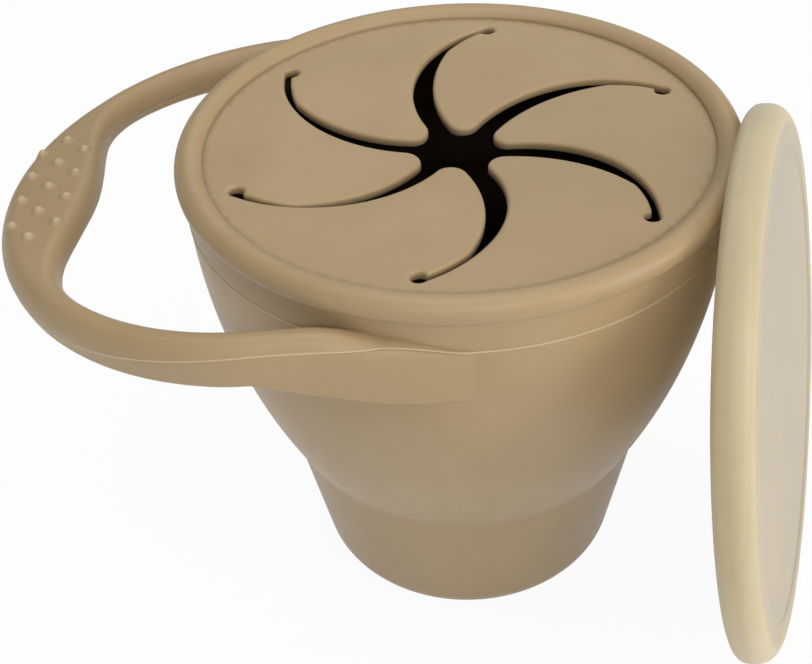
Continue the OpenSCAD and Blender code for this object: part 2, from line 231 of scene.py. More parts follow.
def silicone(name, base, deep, line, shade_colour, roughness, grain):
    """Matte moulded silicone: a soft mottle and fine mould grain, with a painted highlight where the pale
    mark is set, on moulding lines and grip bumps, and painted shade where the shade mark is set.
    """
    m, t = new_material(name)
    out = node(t, "ShaderNodeOutputMaterial", (900, 0))
    bsdf = node(t, "ShaderNodeBsdfPrincipled", (600, 0))
    coords = node(t, "ShaderNodeTexCoord", (-900, 0))
    mottle = node(t, "ShaderNodeTexNoise", (-650, 200), Scale=55.0, Detail=3.0, Roughness=0.55)
    grain_noise = node(t, "ShaderNodeTexNoise", (-650, -100), Scale=2600.0, Detail=2.0, Roughness=0.6)
    cloud = node(t, "ShaderNodeTexNoise", (-650, -400), Scale=240.0, Detail=3.0, Roughness=0.5)
    mix = node(t, "ShaderNodeMix", (-350, 200), data_type="RGBA")
    mix.inputs[MIX_A].default_value = (*base, 1)
    mix.inputs[MIX_B].default_value = (*deep, 1)
    ramp = node(t, "ShaderNodeMapRange", (-500, 200))
    ramp.inputs["From Min"].default_value = 0.35
    ramp.inputs["From Max"].default_value = 0.7
    # Painted highlight: the pale mark mixes in the line colour on moulding lines and grip bumps
    pale = node(t, "ShaderNodeAttribute", (-350, 450), attribute_name="pale")
    painted_highlight_mix = node(t, "ShaderNodeMix", (-100, 250), data_type="RGBA")
    painted_highlight_mix.inputs[MIX_B].default_value = (*line, 1)
    # Painted shade: the shade mark mixes towards a near-black colour inside the cup, under the petals, in
    # the rim's crease and on the plug
    painted_shade_mark = node(t, "ShaderNodeAttribute", (-100, 500), attribute_name="shade")
    shaded = node(t, "ShaderNodeMix", (150, 300), data_type="RGBA")
    shaded.inputs[MIX_B].default_value = (*shade_colour, 1)
    rough = node(t, "ShaderNodeMapRange", (-350, -100))
    rough.inputs["To Min"].default_value = roughness - 0.05
    rough.inputs["To Max"].default_value = roughness + 0.07
    add = node(t, "ShaderNodeMath", (-350, -300), operation="MULTIPLY_ADD")
    add.inputs[1].default_value = 0.35
    bump = node(t, "ShaderNodeBump", (300, -300), Strength=grain, Distance=0.00006)
    link(t, (
        (coords.outputs["Object"], mottle.inputs["Vector"]),
        (coords.outputs["Object"], grain_noise.inputs["Vector"]),
        (coords.outputs["Object"], cloud.inputs["Vector"]),
        (mottle.outputs[0], ramp.inputs["Value"]),
        (ramp.outputs[0], mix.inputs[MIX_SHARE]),
        (mix.outputs[MIX_OUT], painted_highlight_mix.inputs[MIX_A]),
        (pale.outputs["Fac"], painted_highlight_mix.inputs[MIX_SHARE]),
        (painted_highlight_mix.outputs[MIX_OUT], shaded.inputs[MIX_A]),
        (painted_shade_mark.outputs["Fac"], shaded.inputs[MIX_SHARE]),
        (shaded.outputs[MIX_OUT], bsdf.inputs["Base Color"]),
        (cloud.outputs[0], rough.inputs["Value"]),
        (rough.outputs[0], bsdf.inputs["Roughness"]),
        (grain_noise.outputs[0], add.inputs[0]),
        (cloud.outputs[0], add.inputs[2]),
        (add.outputs[0], bump.inputs["Height"]),
        (bump.outputs[0], bsdf.inputs["Normal"]),
        (bsdf.outputs[0], out.inputs["Surface"])))
    bsdf.inputs["IOR"].default_value = 1.42
    bsdf.inputs["Specular IOR Level"].default_value = 0.5
    bsdf.inputs["Sheen Weight"].default_value = 0.06
    bsdf.inputs["Sheen Roughness"].default_value = 0.45
    bsdf.inputs["Subsurface Weight"].default_value = 0.05
    bsdf.inputs["Subsurface Radius"].default_value = (0.004, 0.0025, 0.0015)
    bsdf.inputs["Subsurface Scale"].default_value = 1.0
    return m


def frosted_plastic(name):
    """Frosted translucent plastic, warm tan at the edge and pale grey on the face."""
    m, t = new_material(name)
    out = node(t, "ShaderNodeOutputMaterial", (1000, 0))
    bsdf = node(t, "ShaderNodeBsdfPrincipled", (700, 0))
    coords = node(t, "ShaderNodeTexCoord", (-1000, 0))
    tone = node(t, "ShaderNodeAttribute", (-700, 300), attribute_name="tone")
    ramp = node(t, "ShaderNodeValToRGB", (-400, 300))
    ramp.color_ramp.elements[0].position = 0.0
    ramp.color_ramp.elements[0].color = (0.635, 0.485, 0.30, 1)
    ramp.color_ramp.elements[1].position = 1.0
    ramp.color_ramp.elements[1].color = (0.455, 0.37, 0.262, 1)
    middle = ramp.color_ramp.elements.new(0.5)
    middle.color = (0.50, 0.39, 0.25, 1)
    haze = node(t, "ShaderNodeTexNoise", (-700, 0), Scale=70.0, Detail=4.0, Roughness=0.55)
    grain = node(t, "ShaderNodeTexNoise", (-700, -300), Scale=1900.0, Detail=2.0)
    shade = node(t, "ShaderNodeMix", (200, 200), data_type="RGBA", blend_type="MULTIPLY")
    shade.inputs[MIX_SHARE].default_value = 1.0
    level = node(t, "ShaderNodeMapRange", (-400, 0))
    level.inputs["To Min"].default_value = 0.94
    level.inputs["To Max"].default_value = 1.05
    bump = node(t, "ShaderNodeBump", (400, -300), Strength=0.12, Distance=0.00005)
    link(t, (
        (coords.outputs["Object"], haze.inputs["Vector"]),
        (coords.outputs["Object"], grain.inputs["Vector"]),
        (tone.outputs["Fac"], ramp.inputs["Fac"]),
        (ramp.outputs[0], shade.inputs[MIX_A]),
        (haze.outputs[0], level.inputs["Value"]),
        (level.outputs[0], shade.inputs[MIX_B]),
        (shade.outputs[MIX_OUT], bsdf.inputs["Base Color"]),
        (grain.outputs[0], bump.inputs["Height"]),
        (bump.outputs[0], bsdf.inputs["Normal"]),
        (bsdf.outputs[0], out.inputs["Surface"])))
    bsdf.inputs["Roughness"].default_value = 0.48
    bsdf.inputs["IOR"].default_value = 1.46
    bsdf.inputs["Specular IOR Level"].default_value = 0.35
    bsdf.inputs["Transmission Weight"].default_value = 0.06
    bsdf.inputs["Subsurface Weight"].default_value = 1.0
    bsdf.inputs["Subsurface Radius"].default_value = (0.006, 0.005, 0.0035)
    bsdf.inputs["Subsurface Scale"].default_value = 1.0
    return m


TAN = silicone(
    "silicone_tan",
    base=(0.427, 0.305, 0.161),
    deep=(0.402, 0.283, 0.146),
    # line: the colour of the painted highlight on moulding lines and grip bumps
    line=(0.62, 0.50, 0.32),
    # the colour of the painted shade inside the cup, under the petals, in the rim's crease and on the plug
    shade_colour=(0.014, 0.005, 0.0025),
    roughness=0.43,
    grain=0.22)
FROSTED = frosted_plastic("frosted_plastic")


# ---- cup: one skin from the foot to the rim; the cup itself rolls when it is pressed flat, the skin does not

SIDE_TOP = CUP_H - RIM_BAND
SIDE_IN = CUP_R - WAIST_R
SIDE_BOW = (SIDE_IN ** 2 + (SIDE_TOP - WAIST_Z) ** 2) / (2 * SIDE_IN)


def side_r(z):
    """Outer radius of the cup above the waist."""
    if z >= SIDE_TOP:
        return CUP_R
    return CUP_R - SIDE_BOW + math.sqrt(SIDE_BOW ** 2 - (SIDE_TOP - z) ** 2)


def tangent_angle(cx, cy, r, px, py):
    """Where on a circle, in degrees, its right-hand tangent through a point outside it touches."""
    dx, dy = px - cx, py - cy
    return math.degrees(math.atan2(dy, dx)) - math.degrees(math.acos(r / math.hypot(dx, dy)))


def soften(profile, corner, reach, n=6):
    """Rounds the corner of a profile at one of its points, over a reach each way."""
    i = min(range(len(profile)), key=lambda k: math.dist(profile[k], corner))
    c = profile[i]
    before, after = i, i
    while before > 0 and math.dist(profile[before], c) < reach:
        before -= 1
    while after < len(profile) - 1 and math.dist(profile[after], c) < reach:
        after += 1

    def toward(p, d):
        k = d / math.dist(p, c)
        return (c[0] + (p[0] - c[0]) * k, c[1] + (p[1] - c[1]) * k)

    a, b = toward(profile[before], reach), toward(profile[after], reach)
    curve = []
    for j in range(n + 1):
        t = j / n
        curve.append(tuple((1 - t) ** 2 * a[k] + 2 * t * (1 - t) * c[k] + t * t * b[k] for k in (0, 1)))
    return profile[:before + 1] + curve + profile[after:]


def cup_profile():
    """From the middle of the foot up the outside to the lip, and down the inside to the floor."""
    outer_end = tangent_angle(FOOT_R, FOOT_ROUND, FOOT_ROUND, WAIST_R, WAIST_Z)
    foot = arc(FOOT_R, FOOT_ROUND, FOOT_ROUND, FOOT_ROUND, -90, outer_end, 18)
    base = straight(foot[-1], (WAIST_R, WAIST_Z), 12)
    heights = [WAIST_Z + (PARTING - 0.45 - WAIST_Z) * i / 44 for i in range(1, 45)]
    side = [(side_r(z), z) for z in heights]
    ridge = [(side_r(PARTING + dz) + out, PARTING + dz) for dz, out in RIDGE]
    upper = [(side_r(z), z) for z in np.linspace(PARTING + 0.6, CUP_H - 0.5, 10)]
    rim = [(CUP_R - 0.15, CUP_H - 0.15), (CUP_R - 0.5, CUP_H)]
    lip = arc(CUP_R - COLLAR_WALL + LIP_ROUND, CUP_H - LIP_ROUND, LIP_ROUND, LIP_ROUND, 90, 180, 8)
    outside = [(0.0, 0.0), (FOOT_R * 0.5, 0.0)] + foot + base + side + ridge + upper + rim + lip
    inner_r = FOOT_ROUND - BASE_WALL
    inner_cz = FLOOR + inner_r
    start = tangent_angle(FOOT_R, inner_cz, inner_r, WAIST_R - BASE_WALL, WAIST_Z)

    def wall(z):
        if z < WAIST_Z:
            return BASE_WALL
        thick = smooth((z - FOLD_Z + FOLD_EASE / 2) / FOLD_EASE)
        return FOLD_WALL + (COLLAR_WALL - FOLD_WALL) * thick

    inner = [(side_r(z) - wall(z), z) for z in np.linspace(SIDE_TOP, WAIST_Z + 2.2, 48)]
    bend = [(WAIST_R - BASE_WALL + 0.35, WAIST_Z + 0.6), (WAIST_R - BASE_WALL - 0.05, WAIST_Z - 0.5)]
    foot_arc = arc(FOOT_R, inner_cz, inner_r, inner_r, start, -90, 12)
    inner_base = straight((WAIST_R - BASE_WALL, WAIST_Z), foot_arc[0], 10)[:-1]
    profile = outside + inner + bend + inner_base + foot_arc + [(FOOT_R * 0.5, FLOOR), (0.0, FLOOR)]
    return soften(profile, (WAIST_R, WAIST_Z), WAIST_ROUND)


def line_marks(profile):
    """Painted highlight: the moulding line is pale along its crest."""
    return [1.0 if abs(z - PARTING) < RIDGE_HALF else 0.0 for r, z in profile]


def inside_shades(profile):
    """Painted shade: little light reaches the inside of the cup, so its colour is darkened quickly below
    the lid.
    """
    top = max(range(len(profile)), key=lambda k: (profile[k][1], -profile[k][0]))
    below = [INSIDE_DARK * smooth((CUP_H - DARK_START - z) / DARK_OVER) for r, z in profile[top + 1:]]
    return [0.0] * (top + 1) + below


cup_line = cup_profile()
cup = revolve("cup_skin", cup_line, TAN, pales=line_marks(cup_line), shades=inside_shades(cup_line))
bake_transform(cup)
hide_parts("cup_base", "cup_fold", "cup_collar")


# ---- handle: a fine loft of the same loop, with its moulding line and its grip bumps

def dome_edge(w):
    """Width of the dome's rounded edge, which always leaves a flat strip between two of them."""
    return min(DOME_EDGE, EDGE_SHARE * w)


def sag(x):
    """Height lost to the handle's sag, level near the cup and then an even slope."""
    t = max(-x - SAG_START, 0.0)
    return math.tan(rad(SAG)) * (math.sqrt(t * t + SAG_EASE ** 2) - SAG_EASE)


def line_height(x):
    """Height of the outer moulding line above the parting plane: high on the arms, low at the pad."""
    return LINE_RISE * smooth((RISE_FROM - x) / RISE_OVER) - LINE_DROP * smooth((DROP_FROM - x) / DROP_OVER)


def dome_height(x):
    """Rise of the domed top: full along the loop, flatter where an arm runs into the cup."""
    return max(DOME * (1 - smooth((x - FLAT_FROM) / FLAT_OVER)), line_height(x) + LINE_CLEAR)


def handle_section(w, deep, line, dome):
    """Points (u, h, pale), always as many: u inward from the outer face, h above the parting plane, pale a
    painted highlight.
    """
    e = dome_edge(w)
    points = []

    def outer(h):
        if h < 0:
            return DRAFT * -h / (deep - FILLET)
        return e * (1 - math.sqrt(max(1 - (h / dome) ** 2, 0.0)))

    def add(pts, pale=0.0):
        points.extend((u, h, pale) for u, h in pts)

    shallow = deep - INNER_LESS
    inner_side = [(w - DRAFT * k, -(shallow - FILLET) * k) for k in (0.12, 0.25, 0.5, 0.75)]
    low, high = DRAFT + FILLET, w - DRAFT - FILLET
    add([(low + (high - low) * k, -deep + INNER_LESS * k) for k in (0.5, 0.25)])
    add(arc(DRAFT + FILLET, FILLET - deep, FILLET, FILLET, 270, 180, 7))
    foot = FILLET - deep
    add([(outer(h), h) for h in (foot + (line - 2 * LINE_FOOT - foot) * k for k in (0.25, 0.5, 0.75, 1.0))])
    add([(outer(line) - 0.01, line - LINE_FOOT)])
    crest = outer(line) - LINE_OUT
    # Painted highlight along the crest of the moulding line
    add([(crest, line - LINE_TOP), (crest, line + LINE_TOP)], 1.0)
    add([(outer(line) - 0.01, line + LINE_FOOT)])
    start = math.degrees(math.asin((line + 2 * LINE_FOOT) / dome))
    add([(outer(h), h) for h in (dome * math.sin(rad(a)) for a in np.linspace(start, 90, 16))])
    flat = w - 2 * e
    add([(e + flat * i / 26, dome) for i in range(1, 26)])
    add([(w - e * (1 - math.cos(rad(a))), dome * math.sin(rad(a))) for a in np.linspace(90, 6, 16)])
    add([(w, 0.1), (w - 0.01, -0.1), (w - 0.03, -0.3)])
    add(inner_side)
    add(arc(high, FILLET - shallow, FILLET, FILLET, 0, -90, 7))
    add([(low + (high - low) * 0.75, -deep + INNER_LESS * 0.75)])
    return points


def bend_inner(a):
    """Radius of the loop's inner edge: the arm's own, drawn in over the pad."""
    pad = PAD_IN / max(math.cos(a), 0.2) ** PAD_BOW
    inner = LOOP_R - ARM_W
    return (inner ** -PAD_SHARP + pad ** -PAD_SHARP) ** (-1 / PAD_SHARP)


def pad_share(a):
    """How much of the pad's form the loop has at an angle: 1 in the middle of the pad, 0 beyond it."""
    low = math.cos(rad(PAD_SPREAD))
    return max(0.0, (math.cos(a) - low) / (1 - low))


BUMPS = [(0.0, j * BUMP_PITCH) for j in range(-2, 3)]
BUMPS += [(s * BUMP_ROW, j * BUMP_PITCH) for s in (-1, 1) for j in (-1.5, -0.5, 0.5, 1.5)]
PAD_X = LOOP_X - (PAD_IN + LOOP_R) / 2


def bump_height(x, y):
    """Rise of the grip bumps at a place on the pad."""
    best = 0.0
    for bx, by in BUMPS:
        d = math.hypot(x - PAD_X - bx, y - by) / BUMP_FOOT
        if d < 1:
            best = max(best, BUMP_RISE * (1 - d * d) ** BUMP_POWER)
    return best


def arm_rings(side):
    """The rings of one arm, from its root in the collar to the bend. side is -1 for the near arm."""
    root_tuck = LOOP_R + ROOT_TUCK - math.sqrt(CUP_R ** 2 - ROOT_END ** 2)
    along = list(np.linspace(ROOT_END, TUCK_START, 24)) + list(np.linspace(TUCK_START - 1, LOOP_X + 1, 15))
    arm = []
    for x in along:
        t = min((x - LOOP_X) / (ROOT_FULL - LOOP_X), 1.0)
        tuck = root_tuck * (max(x - TUCK_START, 0) / (ROOT_END - TUCK_START)) ** 2
        deep = ARM_DEEP + (ROOT_DEEP - ARM_DEEP) * math.sin(math.pi / 2 * t)
        arm.append(((x, side * (LOOP_R - tuck)), (0, -side), ARM_W, deep))
    return arm


def bend_rings():
    """The rings round the bend, close together over the grip pad, where the bumps are."""
    far, pad, near = np.linspace(90, 27, 43), np.linspace(26.6, -26.6, 141), np.linspace(-27, -90, 43)
    rings = []
    for a in (rad(d) for d in (*far, *pad, *near)):
        out = (-math.cos(a), -math.sin(a))
        rings.append(((LOOP_X + LOOP_R * out[0], LOOP_R * out[1]), (-out[0], -out[1]),
                      LOOP_R - bend_inner(a), ARM_DEEP + (PAD_DEEP - ARM_DEEP) * pad_share(a)))
    return rings


def handle_rings():
    """(point on the outer face, inward direction, width, depth) along the loop."""
    return arm_rings(-1) + bend_rings() + arm_rings(1)[::-1]


def clear_of_inside(x, y, z):
    """Keeps a point of the handle's root in the collar's wall, so that it never shows inside the cup."""
    k = max((side_r(z) - COLLAR_WALL / 2) / math.hypot(x, y), 1.0)
    return (x * k, y * k, z)


def make_handle():
    verts, pale = [], []
    rings = handle_rings()
    for at, inward, w, deep in rings:
        for u, h, p in handle_section(w, deep, line_height(at[0]), dome_height(at[0])):
            x, y = at[0] + inward[0] * u, at[1] + inward[1] * u
            if h > DOME * BUMP_FLOOR:
                rise = bump_height(x, y)
                # The bumps rise, and their tops get a painted highlight
                h, p = h + rise, max(p, BUMP_HIGHLIGHT * smooth(rise / BUMP_RISE))
            verts.append(clear_of_inside(x, y, PARTING - sag(x) + h))
            pale.append(p)
    m, n = len(verts) // len(rings), len(rings)
    faces = []
    for i in range(n - 1):
        for j in range(m):
            k = (j + 1) % m
            faces.append((i * m + j, (i + 1) * m + j, (i + 1) * m + k, i * m + k))
    faces.append(tuple(reversed(range(m))))
    faces.append(tuple(range((n - 1) * m, n * m)))
    return make("handle_skin", verts, faces, TAN, pale)


handle = make_handle()
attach(handle, "collar")
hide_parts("handle")


# ---- lid: its rolled rim, and six skins that each carry a petal and the border beside it

def rim_profile():
    """From the rim's inner foot over its crest, down the skirt, and back under it round the plug."""
    skirt_in = CUP_R + SKIRT_CLEAR
    skirt_mid = (skirt_in + LID_R) / 2
    foot = FACE_Z - 0.1
    points = [(RIM_IN - 0.9, FACE_Z - FACE_WALL), (RIM_IN - 0.5, FACE_Z - 0.35),
              (RIM_IN - 0.12, FACE_Z - 0.05)]
    for i in range(15):
        c = math.cos(math.pi / 2 * i / 15)
        climb = (1 - c ** RIM_POWER) ** (1 / RIM_POWER)
        points.append((RIM_IN + (CREST_R - RIM_IN) * (1 - c), foot + (RIM_Z - foot) * climb))
    points += arc(CREST_R, RIM_WAIST, LID_R - CREST_R, RIM_Z - RIM_WAIST, 88, 0, 24)[1:]
    points += arc(skirt_mid, RIM_WAIST, LID_R - skirt_mid, RIM_WAIST - SKIRT_Z, -8, -90, 10)
    points += [(skirt_mid - 0.25, SKIRT_Z + 0.05), (skirt_in, SKIRT_Z + 0.35), (skirt_in, CUP_H - 0.1)]
    points += [(skirt_in - 0.3, CUP_H + 0.02), (PLUG_OUT + 0.2, CUP_H + 0.02), (PLUG_OUT, CUP_H - 0.2)]
    points += [(PLUG_OUT, PLUG_Z + 0.5), (PLUG_OUT - 0.2, PLUG_Z + 0.1), (PLUG_OUT - 0.6, PLUG_Z)]
    points += [(PLUG_IN + 0.6, PLUG_Z), (PLUG_IN + 0.2, PLUG_Z + 0.15), (PLUG_IN, PLUG_Z + 0.5)]
    points += [(PLUG_IN, FACE_Z - FACE_WALL - 0.3), (PLUG_IN - 0.3, FACE_Z - FACE_WALL - 0.02)]
    return points


def crease(r, z):
    """Painted shade: a fine dark line in the crease at the rim's inner foot, and the plug inside the cup
    painted dark.
    """
    if z < FACE_Z - 0.5:
        return PLUG_DARK if r < PLUG_OUT + 0.3 else 0.0
    return CREASE_DARK * smooth(1 - math.hypot(r - RIM_IN, z - FACE_Z) / CREASE_OVER)


rim_points = close(rim_profile())
rim = revolve("lid_rim_skin", rim_points, TAN, shades=[crease(r, z) for r, z in rim_points])
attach(rim, "lid")
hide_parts("snack_lid")


def turned(p, a):
    """A point turned about the axis by an angle in degrees."""
    c, s = math.cos(rad(a)), math.sin(rad(a))
    return (p[0] * c - p[1] * s, p[0] * s + p[1] * c)


def meet(a, ra, b, rb, left=True):
    """Where two circles cross, on the left or the right of the line from a to b."""
    dx, dy = b[0] - a[0], b[1] - a[1]
    d = math.hypot(dx, dy)
    k = (ra * ra - rb * rb + d * d) / (2 * d)
    h = math.sqrt(ra * ra - k * k) * (1 if left else -1)
    return (a[0] + (k * dx - h * dy) / d, a[1] + (k * dy + h * dx) / d)


def between(c, p, q, long_way=False):
    """Points along the circle about c from p to q, by the short way round."""
    r = math.dist(c, p)
    a0 = math.atan2(p[1] - c[1], p[0] - c[0])
    a1 = math.atan2(q[1] - c[1], q[0] - c[0])
    d = (a1 - a0 + math.pi) % (2 * math.pi) - math.pi
    if long_way:
        d -= math.copysign(2 * math.pi, d)
    n = max(int(abs(d) * r / ARC_STEP), 2)
    turns = [a0 + d * i / n for i in range(n + 1)]
    return [(c[0] + r * math.cos(a), c[1] + r * math.sin(a)) for a in turns]


# A slit's outer and inner arcs by centre and radius, its end hole, and how far out its petal bends
OUTER_C, OUTER_R = (HOLE_AT - 18.9, -13.4), 24.4
INNER_C, INNER_R = (HOLE_AT - 15.2, -19.1), 27.0
HOLE = (HOLE_AT, 0.0)
CHORD = HOLE_AT * math.cos(rad(30))


def slit_outline():
    """The open edge of the first petal, from its far end hole round its tip to its near one."""
    next_hole, next_outer, next_inner = turned(HOLE, 60), turned(OUTER_C, 60), turned(INNER_C, 60)
    tip = meet(OUTER_C, OUTER_R + TIP_R, next_inner, INNER_R - TIP_R)

    def on_circle(c, r, p):
        k = r / math.dist(c, p)
        return (c[0] + (p[0] - c[0]) * k, c[1] + (p[1] - c[1]) * k)

    tip_left = on_circle(OUTER_C, OUTER_R, tip)
    tip_right = on_circle(next_inner, INNER_R, tip)
    hole_end = turned((HOLE_AT + HOLE_R, 0), 60)
    neck = turned(meet(HOLE, HOLE_R, OUTER_C, OUTER_R - SLIT_W, left=False), 60)
    other = turned(meet(HOLE, HOLE_R, OUTER_C, OUTER_R - SLIT_W, left=True), 60)
    centre_in = (next_hole[0] * 0.5, next_hole[1] * 0.5)
    if math.dist(other, centre_in) < math.dist(neck, centre_in):
        neck = other
    cross = [meet(next_outer, OUTER_R - SLIT_W, next_inner, INNER_R, left=s) for s in (True, False)]
    cross = min(cross, key=lambda p: math.dist(p, next_hole))
    first = [meet(HOLE, HOLE_R, OUTER_C, OUTER_R, left=s) for s in (True, False)]
    first = max(first, key=lambda p: p[1])
    path = between(next_hole, hole_end, neck, long_way=True)
    path += between(next_outer, neck, cross)[1:]
    path += between(next_inner, cross, tip_right)[1:]
    path += between(tip, tip_right, tip_left)[1:]
    path += between(OUTER_C, tip_left, first)[1:]
    path += between(HOLE, first, (HOLE_AT + HOLE_R, 0))[1:]
    return path


def resample(path, step):
    """The same path with points at even steps."""
    path = np.array(path, float)
    along = np.concatenate([[0], np.cumsum(np.linalg.norm(np.diff(path, axis=0), axis=1))])
    n = int(along[-1] / step)
    at = np.linspace(0, along[-1], n + 1)
    return np.stack([np.interp(at, along, path[:, k]) for k in (0, 1)], axis=1)


def relax(path, rounds):
    """Softens the corners of an open path. Its two ends stay."""
    path = path.copy()
    for _ in range(rounds):
        path[1:-1] = 0.5 * path[1:-1] + 0.25 * (path[:-2] + path[2:])
    return path


def normals(path):
    """Unit normals on the left of an open path, which is the solid's side here."""
    t = np.gradient(path, axis=0)
    t /= np.linalg.norm(t, axis=1)[:, None]
    return np.stack([-t[:, 1], t[:, 0]], axis=1)


def inside(points, loop):
    """Which points lie inside a closed loop."""
    x, y = points[:, 0][:, None], points[:, 1][:, None]
    a, b = loop, np.roll(loop, -1, axis=0)
    crosses = ((a[:, 1] > y) != (b[:, 1] > y)) & (
        x < (b[:, 0] - a[:, 0]) * (y - a[:, 1]) / (b[:, 1] - a[:, 1] + 1e-12) + a[:, 0])
    return crosses.sum(axis=1) % 2 == 1


def filled(edge, spacing):
    """A flat mesh inside a closed loop of points: the loop's points come first."""
    lo, hi = edge.min(axis=0), edge.max(axis=0)
    gx, gy = np.meshgrid(np.arange(lo[0], hi[0], spacing), np.arange(lo[1], hi[1], spacing * 0.866))
    gx[1::2] += spacing / 2
    grid = np.stack([gx.ravel(), gy.ravel()], axis=1)
    grid = grid[inside(grid, edge)]
    near = np.min(np.linalg.norm(grid[:, None] - edge[None], axis=2), axis=1)
    grid = grid[near > spacing * 0.45]
    points = [Vector(p) for p in np.concatenate([edge, grid])]
    found = delaunay_2d_cdt(points, [], [list(range(len(edge)))], 1, 1e-6)
    return np.array([tuple(p) for p in found[0]]), [tuple(f) for f in found[2]]


def petal_drop(p, droop, mid):
    """How far a petal's surface lies below the border at a point, as it bends down from its root."""
    d = CHORD - (p[0] * mid[0] + p[1] * mid[1])
    if d <= 0:
        return 0.0
    slope = math.tan(rad(droop)) * DROOP_MORE
    return slope * (d * d / (2 * BEND_OVER) if d < BEND_OVER else d - BEND_OVER / 2)


def petal_shade(x, y, z):
    """Painted shade: dark in the seam at the rim, dimmer down the slit's wall, and dark on the underside.
    """
    if math.hypot(x, y) > RIM_IN - 0.02 and z > FACE_Z - 0.2:
        return SEAM_DARK
    return WALL_DARK * smooth((FACE_Z - z - 0.7) / 0.8) + UNDER_DARK * (FACE_Z - z > 1.6)


def petal_mesh():
    """The first petal and the border beside it, still level, with rounded edges along the slits."""
    edge = relax(resample(slit_outline(), EDGE_STEP), RELAX_ROUNDS)
    left = normals(edge)
    left[0] = (math.cos(rad(60)), math.sin(rad(60)))
    left[-1] = (1.0, 0.0)
    seam = np.array(arc(0, 0, RIM_IN, RIM_IN, 0, 60, 120))

    def face(inset):
        line = edge + left * inset
        out = np.linspace(line[-1], seam[0], 8)[1:-1]
        back = np.linspace(seam[-1], line[0], 8)[1:-1]
        return filled(np.concatenate([line, out, seam, back]), GRID_STEP), len(line)

    (top, top_faces), n = face(ROUND_TOP)
    (low, low_faces), _ = face(ROUND_LOW)
    verts, faces = [], []
    for p in top:
        verts.append((p[0], p[1], FACE_Z))
    faces += top_faces
    rows = [list(range(n))]
    for j in range(1, ROUND_STEPS + 1):
        a = math.pi / 2 * (1 - j / ROUND_STEPS)
        rows.append(list(range(len(verts), len(verts) + n)))
        for p, q in zip(edge, left):
            w = p + q * ROUND_TOP * (1 - math.cos(a))
            verts.append((w[0], w[1], FACE_Z - ROUND_TOP * (1 - math.sin(a))))
    for depth, inset in ((FACE_WALL - ROUND_LOW, 0.0), (FACE_WALL - ROUND_LOW * 0.3, ROUND_LOW * 0.3)):
        rows.append(list(range(len(verts), len(verts) + n)))
        for p, q in zip(edge, left):
            w = p + q * inset
            verts.append((w[0], w[1], FACE_Z - depth))
    first = len(verts)
    for p in low:
        verts.append((p[0], p[1], FACE_Z - FACE_WALL))
    faces += [tuple(first + i for i in reversed(f)) for f in low_faces]
    rows.append(list(range(first, first + n)))
    for a, b in zip(rows, rows[1:]):
        faces += [(a[i + 1], a[i], b[i], b[i + 1]) for i in range(n - 1)]
    return verts, faces


def make_petal(k, verts, faces):
    """Petal k + 1, turned to its place and drooping. It bends between the border and its own body."""
    turn = STAR_TURN + 60 * k
    mid = (math.cos(rad(30)), math.sin(rad(30)))
    placed = []
    for x, y, z in verts:
        x2, y2 = turned((x, y), turn)
        placed.append((x2, y2, z - petal_drop((x, y), DROOPS[k], mid)))
    shade = [petal_shade(x, y, z) for x, y, z in verts]
    obj = make("petal_skin_%d" % (k + 1), placed, faces, TAN, shade=shade)
    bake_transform(obj)
    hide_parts("petal_%d" % (k + 1))


level_verts, petal_faces = petal_mesh()
for k in range(6):
    make_petal(k, level_verts, petal_faces)


# ---- dust cover: a thin frosted cap, leaning

def cover_place():
    """Where the leaning cover stands: on the edge of its mouth, with its lip clear of the lid's rim."""
    lean = rad(COVER_LEAN)
    centre_z = (COVER_R - MOUTH_EDGE) * math.cos(lean) + COVER_SIDE_H * math.sin(lean) + MOUTH_EDGE
    return (Matrix.Rotation(rad(COVER_TURN), 4, "Z")
            @ Matrix.Translation((COVER_REACH, COVER_SIDE, centre_z))
            @ Matrix.Rotation(rad(90 - COVER_LEAN), 4, "Y"))


def cover_profile():
    """Outside from the middle of the face to the mouth, round the lip, and back along the inside."""
    face, flat = COVER_EDGE, COVER_R - COVER_EDGE
    border, mouth = flat - BORDER, COVER_R - MOUTH_EDGE
    points = [(0.0, face - BORDER_STEP)]
    points += [(border * t, face - BORDER_STEP) for t in (0.2, 0.4, 0.6, 0.8, 0.95)]
    points += [(border - 0.55, face - BORDER_STEP), (border - 0.3, face - BORDER_STEP * 0.85),
               (border - 0.1, face - BORDER_STEP * 0.2), (border + 0.2, face)]
    points += [(border + 1.2, face), (flat - 0.6, face)]
    points += arc(flat, 0, COVER_EDGE, COVER_EDGE, 90, 0, 28)
    points += [(COVER_R, -COVER_SIDE_H * 0.5)]
    points += arc(mouth, -COVER_SIDE_H, MOUTH_EDGE, MOUTH_EDGE, 0, -COVER_WRAP, 12)
    bend = MOUTH_EDGE - COVER_WALL / 2
    lip = mouth + bend * math.cos(rad(COVER_WRAP))
    lip_h = -COVER_SIDE_H - bend * math.sin(rad(COVER_WRAP))
    points += arc(lip, lip_h, COVER_WALL / 2, COVER_WALL / 2, -COVER_WRAP - 30, -COVER_WRAP - 150, 6)
    inner = MOUTH_EDGE - COVER_WALL
    points += arc(mouth, -COVER_SIDE_H, inner, inner, -COVER_WRAP, 0, 10)
    points += [(COVER_R - COVER_WALL, -COVER_SIDE_H * 0.5)]
    inner = COVER_EDGE - COVER_WALL
    points += arc(flat, 0, inner, inner, 0, 90, 24)
    points += [(border - 0.2, face - COVER_WALL), (border - 1.2, face - COVER_WALL - BORDER_STEP)]
    points += [(border * t, face - COVER_WALL - BORDER_STEP) for t in (0.8, 0.5, 0.2)]
    points += [(0.0, face - COVER_WALL - BORDER_STEP)]
    return points


cover = revolve("dust_cover_skin", cover_profile(), FROSTED, place=cover_place())


